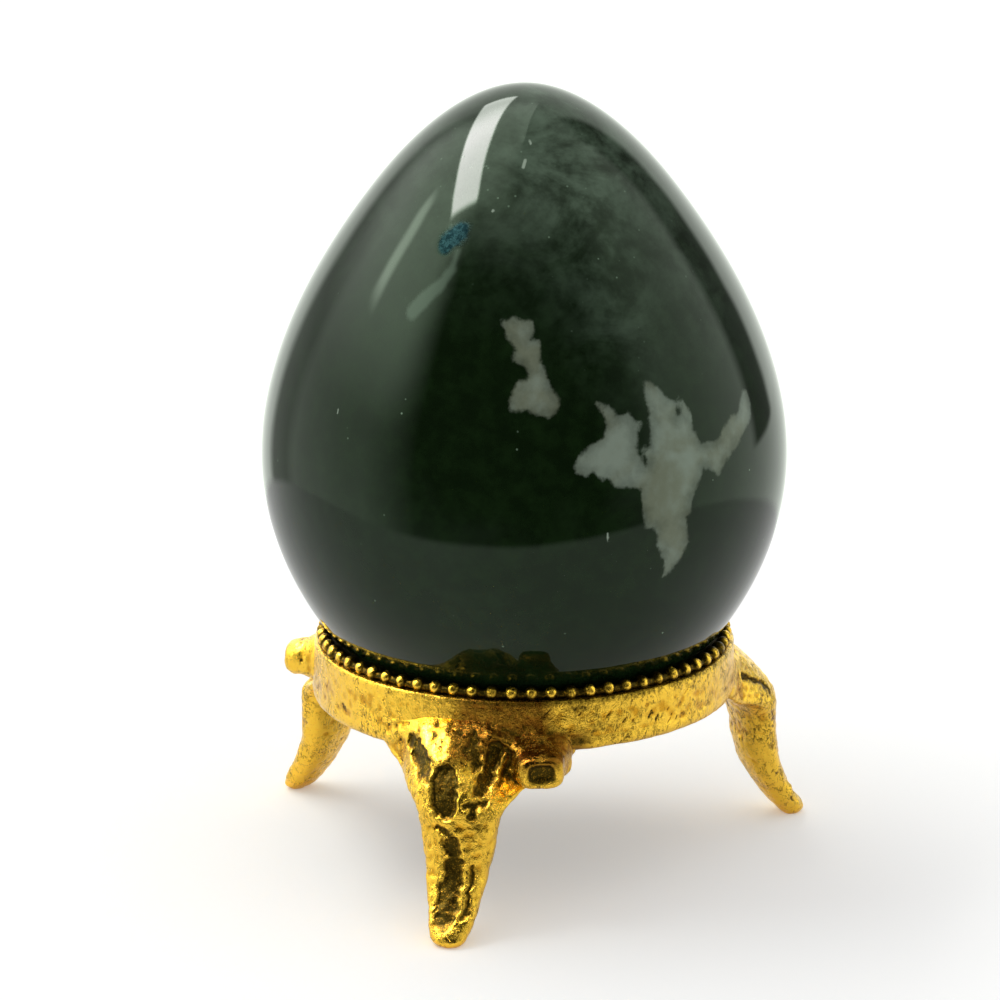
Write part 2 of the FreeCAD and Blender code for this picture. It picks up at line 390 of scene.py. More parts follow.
def ramp(values, low, high):
    """0 at low, 1 at high and straight between: low may be the larger."""
    return np.clip((values - low) / (high - low), 0, 1)


def relax(points, edges, rounds, weight=0.5):
    """Neighbour averaging, which smooths a surface or finds its hollows."""
    count = len(points)
    first, second = edges[:, 0], edges[:, 1]
    links = np.bincount(first, minlength=count) + np.bincount(second, minlength=count)
    for _ in range(rounds):
        total = np.empty_like(points)
        for axis in range(points.shape[1]):
            total[:, axis] = (np.bincount(first, points[second, axis], count)
                              + np.bincount(second, points[first, axis], count))
        points = points + weight * (total / np.maximum(links, 1)[:, None] - points)
    return points


def store(piece, name, values):
    layer = piece.data.attributes.new(name, "FLOAT", "POINT")
    layer.data.foreach_set("value", np.asarray(values, dtype=np.float32))


def store_hollows(piece, rounds, depth):
    """Keeps how far each point lies in a hollow (up to 1) or on a crest (down to -1)."""
    points = mesh_points(piece)
    settled = relax(points, mesh_edges(piece), rounds)
    inward = ((settled - points) * mesh_normals(piece)).sum(1)
    store(piece, "hollow", np.clip(inward / depth, -1, 1))


def add_unevenness(piece, size, height, seed):
    """Pushes points in and out along their normals, as a hand-finished casting is uneven."""
    points = mesh_points(piece)
    shift = Vector((seed, seed * 2.0, seed * 3.0))
    push = np.array([noise.noise(Vector(p) / size + shift) for p in points])
    set_points(piece, points + mesh_normals(piece) * (push * height)[:, None])


def curve_through(heights, table, at):
    """Smooth cubic curves through a table's columns."""
    slopes = np.empty_like(table)
    steps = np.diff(heights)[:, None]
    rates = np.diff(table, axis=0) / steps
    slopes[1:-1] = (rates[:-1] * steps[1:] + rates[1:] * steps[:-1]) / (steps[:-1] + steps[1:])
    slopes[0], slopes[-1] = rates[0], rates[-1]
    index = np.clip(np.searchsorted(heights, at, side="right") - 1, 0, len(heights) - 2)
    step = (heights[index + 1] - heights[index])[:, None]
    t = ((at - heights[index])[:, None]) / step
    return ((2 * t ** 3 - 3 * t ** 2 + 1) * table[index] + (t ** 3 - 2 * t ** 2 + t) * step * slopes[index]
            + (3 * t ** 2 - 2 * t ** 3) * table[index + 1] + (t ** 3 - t ** 2) * step * slopes[index + 1])


def segment_distance(x, y, ax, ay, bx, by):
    """Distance of points from a straight stroke."""
    dx, dy = bx - ax, by - ay
    length = np.maximum(dx * dx + dy * dy, 1e-9)
    t = np.clip(((x - ax) * dx + (y - ay) * dy) / length, 0, 1)
    return np.hypot(x - ax - t * dx, y - ay - t * dy)


def across_from(angle, middle, radius):
    """Way in mm round a body from one angle to others, all in degrees, the short way round."""
    return ((angle - middle + 180) % 360 - 180) * math.radians(1) * radius


def stroke_distance(angle, height, radius, ends):
    """Distance in mm from a stroke whose ends are given as angle and height on a round body."""
    a0, z0, a1, z1 = ends
    middle = (a0 + a1) / 2
    reach = (a1 - a0) / 2 * math.radians(1) * radius
    return segment_distance(across_from(angle, middle, radius), height, -reach, z0, reach, z1)


def outline_depth(x, y, outline):
    """Signed distance to a closed outline, positive inside."""
    nearest = np.full(x.shape, 1e9)
    inside = np.zeros(x.shape, dtype=bool)
    for (ax, ay), (bx, by) in zip(outline, outline[1:] + outline[:1]):
        nearest = np.minimum(nearest, segment_distance(x, y, ax, ay, bx, by))
        crosses = (ay > y) != (by > y)
        with np.errstate(divide="ignore", invalid="ignore"):
            inside ^= crosses & (x < (bx - ax) * (y - ay) / (by - ay) + ax)
    return np.where(inside, nearest, -nearest)


# ---- Node helpers ----

class Value:
    """One output of a node: arithmetic with it, and the calls below, add nodes to its tree."""

    def __init__(self, tree, socket):
        self.tree, self.socket = tree, socket

    def math(self, operation, other=0.0, clamp=False):
        return self.tree.output(0, "ShaderNodeMath", {0: self, 1: other}, operation=operation, use_clamp=clamp)

    __add__ = partialmethod(math, "ADD")
    __sub__ = partialmethod(math, "SUBTRACT")
    __mul__ = partialmethod(math, "MULTIPLY")
    __truediv__ = partialmethod(math, "DIVIDE")
    most = partialmethod(math, "MAXIMUM")

    def span(self, low, high, to_low=0.0, to_high=1.0, smooth=True):
        """to_low at low and to_high at high: low may be the larger."""
        return self.tree.output(0, "ShaderNodeMapRange", {
            "Value": self, "From Min": low, "From Max": high, "To Min": to_low, "To Max": to_high},
            interpolation_type="SMOOTHSTEP" if smooth else "LINEAR")

    def near(self, middle, outer, inner):
        """1 within the inner distance from the middle, and 0 beyond the outer one."""
        return (self - middle).math("ABSOLUTE").span(outer, inner)

    def swing(self, amount):
        """A noise value's swing to both sides of its middle."""
        return (self - 0.5) * amount


class Tree:
    """Short calls for building one node tree."""

    def __init__(self, tree):
        self.tree = tree

    def node(self, kind, values=None, **settings):
        made = self.tree.nodes.new(kind)
        for key, value in settings.items():
            setattr(made, key, value)
        for key, value in (values or {}).items():
            self.put(made.inputs[key], value)
        return made

    def put(self, socket, value):
        if isinstance(value, Value):
            self.tree.links.new(value.socket, socket)
        else:
            socket.default_value = value

    def output(self, key, kind, values=None, **settings):
        """A new node's output."""
        return Value(self, self.node(kind, values, **settings).outputs[key])

    def outputs(self, node):
        """All of a node's outputs by name."""
        return {socket.name: Value(self, socket) for socket in node.outputs}

    def mix(self, factor, a, b):
        return self.output(2, "ShaderNodeMix", {0: factor, 6: a, 7: b}, data_type="RGBA")

    def mix_value(self, factor, a, b):
        return self.output(0, "ShaderNodeMix", {0: factor, 2: a, 3: b}, data_type="FLOAT")

    def mix_shader(self, factor, a, b):
        return self.output(0, "ShaderNodeMixShader", {0: factor, 1: a, 2: b})

    def noise(self, place, scale, detail=4.0, roughness=0.5, distortion=0.0):
        return self.output("Fac", "ShaderNodeTexNoise", {
            "Vector": place, "Scale": scale, "Detail": detail, "Roughness": roughness,
            "Distortion": distortion})

    def stretch(self, place, scale, turn=(0.0, 0.0, 0.0)):
        return self.output(0, "ShaderNodeMapping", {"Vector": place, "Scale": scale, "Rotation": turn})

    def split(self, vector):
        return self.outputs(self.node("ShaderNodeSeparateXYZ", {"Vector": vector})).values()

    def attribute(self, name):
        return self.output("Fac", "ShaderNodeAttribute", attribute_name=name)

    def place(self):
        return self.output("Object", "ShaderNodeTexCoord")

    def bump(self, distance, height):
        return self.output(0, "ShaderNodeBump", {"Strength": 1.0, "Distance": distance, "Height": height})

    def principled(self, values):
        return self.output(0, "ShaderNodeBsdfPrincipled", values)

    def surface(self, shader, kind="ShaderNodeOutputMaterial"):
        self.node(kind, {"Surface": shader})


def rgba(color):
    return (*color, 1.0)


def shade(color, *factors):
    """A lighter or darker colour, by one factor or by one for each channel."""
    if len(factors) == 1:
        factors *= 3
    return rgba([min(1, c * factor) for c, factor in zip(color, factors)])


def new_material(name):
    """An empty material, and the helper for its nodes."""
    material = bpy.data.materials.new(name)
    material.use_nodes = True
    material.node_tree.nodes.clear()
    return material, Tree(material.node_tree)


def new_group(name, inputs, outputs):
    """A node group with named sockets: returns the group, its helper, its inputs by name and its output node."""
    group = bpy.data.node_groups.new(name, "ShaderNodeTree")
    for socket, kind, default in inputs:
        made = group.interface.new_socket(socket, in_out="INPUT", socket_type=kind)
        if default is not None:
            made.default_value = default
    for socket, kind in outputs:
        group.interface.new_socket(socket, in_out="OUTPUT", socket_type=kind)
    tree = Tree(group)
    return group, tree, tree.outputs(tree.node("NodeGroupInput")), tree.node("NodeGroupOutput")


# ---- Finishes ----

def worn_gilding_group():
    """Gilding with granular leaf, rubbed crests, dark patina in hollows, pits and scratches, with painted shade and a
    painted dark reflection brought in by its inputs.
    """
    name = "worn gilding"
    if name in bpy.data.node_groups:
        return bpy.data.node_groups[name]
    color, value = "NodeSocketColor", "NodeSocketFloat"
    group, tree, given, result = new_group(
        name,
        [("Place", "NodeSocketVector", None), ("Hollow", value, 0.0), ("Field", value, 0.0),
         ("Tint", value, 0.0), ("Gold", color, (1, 0.6, 0.1, 1)), ("Deep Gold", color, (0.7, 0.4, 0.04, 1)),
         ("Patina", color, (0.04, 0.03, 0.01, 1)), ("Tint Color", color, (0.2, 0.08, 0.01, 1))],
        [("Color", color), ("Roughness", value), ("Metallic", value), ("Height", value)])
    place, hollow, field = given["Place"], given["Hollow"], given["Field"]
    broad = tree.noise(place, 260.0, 3.0, 0.55)
    middle = tree.noise(place, 900.0, 4.0, 0.62)
    grain = tree.noise(tree.stretch(place, (1.0, 1.0, 0.8), (0.4, 0.2, 0.0)), 3300.0, 4.0, 0.72)
    fine = tree.noise(place, 8200.0, 2.0, 0.6)
    # Patina sits in hollows, with a torn edge, and in the sunk fields; the same stored value also paints shade in the
    # gap inside the beads, just under them and on the beads' lower and inner sides.
    torn = grain.swing(2.6) + middle.swing(2.0)
    in_hollow = (hollow + torn * 0.75).span(0.22, 0.62)
    in_patina_and_shade = (field + torn * 0.42).span(0.30, 0.74)
    # Fine dark lines run where the leaf has wrinkled, in patches, with pits among them.
    folds = tree.noise(tree.stretch(place, (1.0, 1.0, 0.55), (0.25, 0.2, 0.0)), 1250.0, 5.0, 0.68, 0.5)
    specks = tree.noise(tree.stretch(place, (1.0, 1.0, 0.62)), 2900.0, 4.0, 0.75)
    worn = broad * 0.5 + middle * 0.5 + field * 0.16
    pits = specks.span(0.585, 0.655) * worn.span(0.44, 0.58)
    lines = folds.near(0.5, 0.040, 0.008) * worn.span(0.42, 0.60, 0.12, 1.0) * grain.span(0.40, 0.56)
    dust = grain.span(0.42, 0.32) * fine.span(0.62, 0.45)
    marks = (pits * 0.9).most(lines * 0.9).most(dust * 0.22)
    # Patina, marks and the painted shade together darken the gold.
    dirt_and_shade = in_hollow.most(in_patina_and_shade).most(marks, clamp=True)
    # Gold goes from bright on the crests to deep in the flats.
    crest = hollow * -0.8 + middle * 1.15 + grain * 0.45
    gold = tree.mix(crest.span(0.52, 0.98), given["Deep Gold"], given["Gold"])
    # The coppery tint over the front leg also paints a dark reflection there.
    through = (middle + grain * 0.6).span(0.62, 1.0, 1.0, 0.78)
    gold = tree.mix(given["Tint"].math("MULTIPLY", through, clamp=True), gold, given["Tint Color"])
    flecks = fine.span(0.50, 0.64) * grain.span(0.42, 0.58)
    patina = tree.mix(flecks * 0.5, given["Patina"], given["Deep Gold"])
    rough = (grain + middle * 0.6).span(0.5, 1.1, 0.10, 0.25)
    tree.put(result.inputs["Color"], tree.mix(dirt_and_shade, gold, patina))
    tree.put(result.inputs["Roughness"], tree.mix_value(dirt_and_shade, rough, 0.42))
    tree.put(result.inputs["Metallic"], tree.mix_value(dirt_and_shade, 1.0, 0.96))
    tree.put(result.inputs["Height"], grain * 0.28 + fine * 0.05 + middle * 1.2 - dirt_and_shade * 0.35)
    return group


def gilt_material(name, settings, grain_depth, tinted_and_reflecting=True):
    """Worn gilding for one kind of piece."""
    if name in bpy.data.materials:
        return bpy.data.materials[name]
    material, tree = new_material(name)
    given = {
        "Place": tree.place(), "Hollow": tree.attribute("hollow"), "Field": tree.attribute("field"),
        "Gold": rgba(settings.gold_color), "Deep Gold": rgba(settings.deep_gold_color),
        "Patina": rgba(settings.patina_and_shade_color), "Tint Color": rgba(settings.tint_color),
    }
    if tinted_and_reflecting:
        given["Tint"] = tree.attribute("tint")
    worn = tree.node("ShaderNodeGroup", node_tree=worn_gilding_group())
    for key, value in given.items():
        tree.put(worn.inputs[key], value)
    look = tree.outputs(worn)
    tree.surface(tree.principled({
        "Base Color": look["Color"], "Roughness": look["Roughness"], "Metallic": look["Metallic"],
        "Normal": tree.bump(grain_depth, look["Height"])}))
    return material


def stone_material(settings):
    """Polished dark green stone with milky clouds, specks and grey-white inclusions."""
    material, tree = new_material("polished green stone")
    place = tree.place()
    veil, mark, inside = (tree.attribute(name) for name in ("veil", "mark", "inclusion"))
    soft = tree.noise(place, 55.0, 5.0, 0.55, 0.4)
    cloud = tree.noise(tree.stretch(place, (1.0, 1.0, 1.6), (0.3, 0.5, 0.0)), 130.0, 6.0, 0.62, 0.8)
    mottle = tree.noise(place, 520.0, 4.0, 0.6)
    grain = tree.noise(place, 2600.0, 2.0, 0.6)
    # The body has the milky veil in it, and specks that crowd together here and there, most of all in the veil.
    milky = veil * (cloud * 0.6 + mottle * 0.4).span(0.36, 0.68) + soft.span(0.50, 0.82) * 0.10
    body = tree.mix(mottle.span(0.35, 0.75), rgba(settings.body_color), shade(settings.body_color, 1.9))
    body = tree.mix(milky, body, rgba(settings.cloud_color))
    crowd = tree.noise(place, 260.0, 2.0, 0.5)
    crowd = crowd.span(0.60, 0.70).most(veil * crowd.span(0.40, 0.60))
    cells = tree.output("Distance", "ShaderNodeTexVoronoi", {"Vector": place, "Scale": 780.0, "Randomness": 1.0})
    specks = cells.span(0.10, 0.045) * crowd * mark.span(-0.3, -0.6)
    body = tree.mix(specks * 0.8, body, shade(settings.cloud_color, 2.6))
    # Inclusions: the stored depth inside their outline, frayed by noise.
    fray = tree.noise(place, 750.0, 5.0, 0.62)
    shard = (inside + fray.swing(1.15)).span(-0.20, 0.20)
    thick = (inside + mottle * 3.0).span(0.9, 2.9, 0.50, 1.0)
    pale = (tree.noise(place, 150.0, 3.0, 0.6, 0.5) * 0.8 + fray * 0.2).span(0.40, 0.60)
    grey = tree.mix(pale, shade(settings.inclusion_color, 0.72, 0.67, 0.58), rgba(settings.inclusion_color))
    body = tree.mix(shard * thick, body, grey)
    # Small pale marks, the curved vein, the blue spot and the chipped edge.
    body = tree.mix(mark.span(-0.05, 0.06) * 0.85, body, shade(settings.inclusion_color, 1.5))
    vein = (tree.attribute("vein") + mottle.swing(0.5)).span(-0.22, 0.30)
    body = tree.mix(vein * 0.8, body, rgba(settings.cloud_color))
    blue = (tree.attribute("blue") + mottle.swing(1.6)).span(-0.25, 0.4)
    body = tree.mix(blue, body, tree.mix(grain.span(0.35, 0.65), *BLUE_SHADES))
    body = tree.mix(tree.attribute("chip").span(-0.05, 0.1), body, CHIP_SHADE)
    scratch = tree.noise(tree.stretch(place, (1.0, 1.0, 0.08), (0.5, 0.9, 0.3)), 900.0, 2.0, 0.5)
    height = tree.noise(place, 90.0, 2.0, 0.5) - (specks * 0.02 + blue * 0.05)
    rough = soft.span(0.3, 0.8, settings.polish, settings.polish * 1.8)
    rough = rough + scratch.span(0.70, 0.76) * 0.03 + blue * 0.2
    tree.surface(tree.principled({
        "Base Color": body, "Metallic": blue, "Roughness": rough, "Normal": tree.bump(0.00006, height),
        "Specular IOR Level": 0.25, "Specular Tint": (0.79, 1.0, 0.78, 1.0)}))
    return material


# ---- Egg ----

def egg_outline(height, radius, samples):
    """Radius and height of the egg's outline from foot to crown, in millimetres above its foot."""
    belly, shoulder = height * BELLY_SHARE, height * SHOULDER_SHARE
    shoulder_radius = radius * SHOULDER_RADIUS_SHARE
    rise, fall = shoulder_radius * SHOULDER_UP, (shoulder - belly) * SHOULDER_DOWN
    sine, cosine = math.sin(SHOULDER_SLOPE), math.cos(SHOULDER_SLOPE)
    arcs = [
        [(0, 0), (radius * FOOT_OUT, 0), (radius, belly * (1 - BELLY_DOWN)), (radius, belly)],
        [(radius, belly), (radius, belly + (shoulder - belly) * BELLY_UP),
         (shoulder_radius + fall * sine, shoulder - fall * cosine), (shoulder_radius, shoulder)],
        [(shoulder_radius, shoulder), (shoulder_radius - rise * sine, shoulder + rise * cosine),
         (shoulder_radius * CROWN_OUT, height), (0, height)],
    ]
    points = []
    for arc in arcs:
        a, b, c, d = (np.array(pole, dtype=float) for pole in arc)
        for t in np.linspace(0, 1, samples, endpoint=False):
            points.append((1 - t) ** 3 * a + 3 * (1 - t) ** 2 * t * b + 3 * (1 - t) * t * t * c + t ** 3 * d)
    return np.array(points[1:])


class EGGSTAND_OT_polish_egg(bpy.types.Operator):
    """Turns the stone egg and lays its inclusions, clouds and specks"""
    bl_idname = "eggstand.polish_egg"
    bl_label = "Polished egg"

    def execute(self, context):
        settings = context.scene.egg_settings
        foot, columns = egg_low.z / MM, 360
        outline = egg_outline(settings.height / MM, settings.radius / MM, 90) + (0, foot)
        points = turned(outline[:, :1], full_turn(columns), outline[:, 1:]).reshape(-1, 3)
        points = np.vstack([points, (0, 0, foot), (0, 0, foot + settings.height / MM)])
        egg = make_object("polished_egg", points, capped_faces(len(outline), columns))
        self.store_marks(egg, outline)
        egg.data.materials.append(stone_material(settings))
        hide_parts("egg")
        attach(egg, "egg")
        return {"FINISHED"}

    @staticmethod
    def store_marks(egg, girth):
        points = mesh_points(egg)
        radius, turn = polar(points)
        angle, height = np.degrees(turn), points[:, 2]
        depth = np.full(len(points), FAR_OUTSIDE)
        for outline in [BRANCHING_PATCH, WAISTED_PATCH] + BACK_PATCHES:
            middle, level = (sum(values) / len(outline) for values in zip(*outline))
            around = np.interp(level, girth[:, 1], girth[:, 0])
            spots = [((a - middle) * math.radians(1) * around, z) for a, z in outline]
            depth = np.maximum(depth, outline_depth(across_from(angle, middle, around), height, spots))
        store(egg, "inclusion", depth)
        for name, strokes in EGG_STROKES.items():
            depth = np.full(len(points), FAR_OUTSIDE)
            for *ends, half in strokes:
                depth = np.maximum(depth, half - stroke_distance(angle, height, radius, ends))
            store(egg, name, depth)
        # The milky veil hangs from the crown down the right of the front, in soft streaks.
        crown = ramp(height, 52, 66)
        beside = np.exp(-((angle - 34) / 40) ** 2)
        fall = np.exp(-((angle - 40) / 13) ** 2) + 0.6 * np.exp(-((angle - 72) / 14) ** 2)
        fall = fall * ramp(height, 47, 55)
        store(egg, "veil", np.clip(crown * crown * (0.28 + 0.60 * beside) + 0.42 * fall, 0, 1))


# ---- Stand ----

class EGGSTAND_OT_turn_ring(bpy.types.Operator):
    """Shapes the flared ring with its bevelled seat, lip and cast unevenness"""
    bl_idname = "eggstand.turn_ring"
    bl_label = "Ring band"

    def execute(self, context):
        settings = context.scene.stand_settings
        top, foot, lip = ring_high.z / MM, ring_low.z / MM, ring_high.x / MM
        edge, bore = lip - RING_FLARE, RING_BORE
        profile = [
            (bore, foot + 0.5), (bore + 0.15, foot + 0.15), (bore + 0.5, foot), (lip - 1.6, foot), (lip - 0.75, foot),
            (lip - 0.42, foot + 0.07), (lip - 0.16, foot + 0.26), (lip - 0.03, foot + 0.55), (lip, foot + 0.9),
            (lip - 0.06, foot + 1.5), (edge + 0.05, foot + 2.6), (edge + 0.02, foot + 4.0), (edge, top - 0.5),
            (edge - 0.01, top - 0.2), (edge - 0.1, top - 0.05), (edge - 0.28, top), (edge - 1.2, top),
            (bore + 0.36, top), (bore + 0.29, top - 0.05), (bore + 0.02, top - 0.62), (bore, top - 0.7),
            (bore, top - 2.4),
        ]
        dense = []
        for start, end in zip(np.array(profile), np.array(profile[1:] + profile[:1])):
            steps = max(1, int(math.dist(start, end) / RING_MESH_STEP))
            dense += [start + (end - start) * step / steps for step in range(steps)]
        dense = np.array(dense)
        columns = 720
        turn = full_turn(columns)[:, None]
        # The underside dips a little on the left and rises on the right, as it was filed by hand.
        low = ramp(dense[:, 1], top - 1.4, foot)
        heights = dense[:, 1] + low * (0.42 * np.sin(turn - math.radians(12)) + 0.1 * np.sin(3 * turn))
        points = turned(dense[:, 0], turn, heights).reshape(-1, 3)
        ring = make_object("ring_casting", points, hoop_faces(columns, len(dense)))
        add_unevenness(ring, 2.6, 0.07, 3.1)
        add_unevenness(ring, 0.8, 0.035, 7.7)
        self.gouge(ring)
        store_hollows(ring, 30, 0.045)
        self.store_finish(ring, top)
        ring.data.materials.append(gilt_material("worn gilt ring", settings, CAST_GRAIN))
        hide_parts("ring_band")
        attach(ring, "stand")
        return {"FINISHED"}

    @staticmethod
    def gouge(ring):
        """Short slanting scratches in the ring's outer face, many of them to the right of the front leg."""
        points = mesh_points(ring)
        radius, turn = polar(points)
        angle, heights = np.degrees(turn), points[:, 2]
        draw = np.random.default_rng(11)
        low, high = heights.min() + 0.7, heights.max() - 0.5
        degree = math.radians(1) * RING_FACE
        for number in range(SCRATCH_COUNT):
            middle = draw.uniform(-180, 180) if number % 3 else draw.normal(44, 13)
            place = draw.uniform(low, high)
            slant = math.radians(draw.normal(52, 7))
            length = draw.uniform(0.2, 0.6)
            reach, climb = length * math.cos(slant) / degree, length * math.sin(slant)
            half, depth = draw.uniform(0.06, 0.10), draw.uniform(0.02, 0.07)
            ends = (middle - reach, place - climb, middle + reach, place + climb)
            far = stroke_distance(angle, heights, RING_FACE, ends)
            bite = depth * np.clip(1 - (far / half) ** 2, 0, 1) * (radius > RING_FACE - 0.6)
            points[:, :2] *= (1 - bite / radius)[:, None]
        set_points(ring, points)

    @staticmethod
    def store_finish(ring, top):
        """The coppery tint over the front leg, which also paints a dark reflection there, painted shade on the ring's
        top inside the beads and just under them, and patches of patina.
        """
        points = mesh_points(ring)
        radius, turn = polar(points)
        angle, height = np.degrees(turn), points[:, 2]
        # The coppery tint over the front leg also paints a dark reflection there.
        tint = np.minimum(ramp(angle, -7, -1), ramp(angle, 24, 19))
        beside = np.minimum(ramp(angle, 18, 21), ramp(angle, 34, 29)) * ramp(height, 18.0, 17.2)
        store(ring, "tint", np.maximum(tint, 0.9 * beside) * (radius > RING_FACE - 0.8))
        # Painted shade: the ring's top between the beads and the egg, and its upper edge just under the beads,
        # darkest towards the right, away from the window.
        inner = 0.9 * ramp(radius, 18.9, 18.4) * ramp(height, top - 1.6, top - 1.1)
        shade_under_beads = 0.55 * ramp(height, top - 0.8, top - 0.3) * (0.55 + 0.45 * np.cos(turn - math.radians(45)))
        field = np.maximum(inner, shade_under_beads)
        for place, level, wide, high, strength in RING_SMUDGES:
            smudge = strength * np.exp(-((angle - place) / wide) ** 2 - ((height - level) / high) ** 2)
            field = np.maximum(field, smudge)
        store(ring, "field", field)


class EGGSTAND_OT_bead_rim(bpy.types.Operator):
    """Strings the rim's beads on their wire and solders them together"""
    bl_idname = "eggstand.bead_rim"
    bl_label = "Beaded rim"

    def execute(self, context):
        settings = context.scene.stand_settings
        bead = settings.bead_radius / MM
        circle, centre = wire_high.x / MM - bead, wire_high.z / MM - bead
        rows, columns = 13, 16
        lift = np.pi * (np.arange(rows) + 0.02)[:, None] / (rows - 1 + 0.04)
        way = full_turn(columns)
        ball = np.stack(np.broadcast_arrays(
            np.sin(lift) * np.cos(way), np.sin(lift) * np.sin(way), -np.cos(lift)), -1).reshape(-1, 3)
        points, faces = [], []
        for index, turn in enumerate(full_turn(settings.bead_count)):
            seed = Vector((index * 1.7, 0.3, 0.9))
            size = bead * (0.94 + 0.12 * noise.noise(seed))
            middle = turned(circle, turn, centre + 0.05 * noise.noise(seed * 2.3) - 0.02)
            first = index * rows * columns
            points.append(middle + size * ball)
            faces += grid_faces(rows, columns, first)
            faces.append(tuple(reversed(range(first, first + columns))))
            faces.append(tuple(range(first + (rows - 1) * columns, first + rows * columns)))
        around, section = full_turn(360)[:, None], full_turn(14)
        wire = turned(circle - 0.05 + WIRE_RADIUS * np.cos(section), around,
                      centre - 0.14 + WIRE_RADIUS * np.sin(section))
        faces += hoop_faces(around.size, section.size, settings.bead_count * rows * columns)
        rim = make_object("beaded_rim", np.vstack(points + [wire.reshape(-1, 3)]), faces)
        fuse_surface(rim, RIM_VOXEL)
        solid = mesh_points(rim)
        solid[:, 2] = np.maximum(solid[:, 2], ring_high.z / MM)
        set_points(rim, solid)
        add_unevenness(rim, 0.5, 0.05, 5.3)
        store_hollows(rim, 14, 0.05)
        self.store_patina_and_shade(rim, circle, centre, settings.bead_count)
        rim.data.materials.append(gilt_material("worn gilt beads", settings, BEAD_GRAIN, tinted_and_reflecting=False))
        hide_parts("beaded_wire")
        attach(rim, "stand")
        return {"FINISHED"}

    @staticmethod
    def store_patina_and_shade(rim, circle, centre, count):
        """Only the upper outer crests of the beads are rubbed bright: the rest keeps its patina, which also paints
        the shade on the beads' lower and inner sides.
        """
        points = mesh_points(rim)
        radius, turn = polar(points)
        pitch = 2 * math.pi / count
        beside = ((turn + pitch / 2) % pitch - pitch / 2) * circle
        number = np.floor((turn + pitch / 2) / pitch).astype(int)
        luck = np.array([noise.noise((n * 3.1, 0.7, 0.2)) for n in range(-count, count + 1)])[number + count]
        # Painted shade with the patina: the beads' lower and inner sides stay dark, and only the upper outer crest is
        # rubbed bright.
        aside = (points[:, 2] - centre - 0.10 - 0.3 * luck - 0.35 * (radius - circle)) / (0.66 + 0.3 * luck)
        rubbed = np.clip(1.25 - np.hypot(beside / 0.50, aside), 0, 1) * ramp(radius, circle - 0.35, circle + 0.15)
        store(rim, "field", np.clip(1.0 - (1.1 + luck) * rubbed, 0, 1))


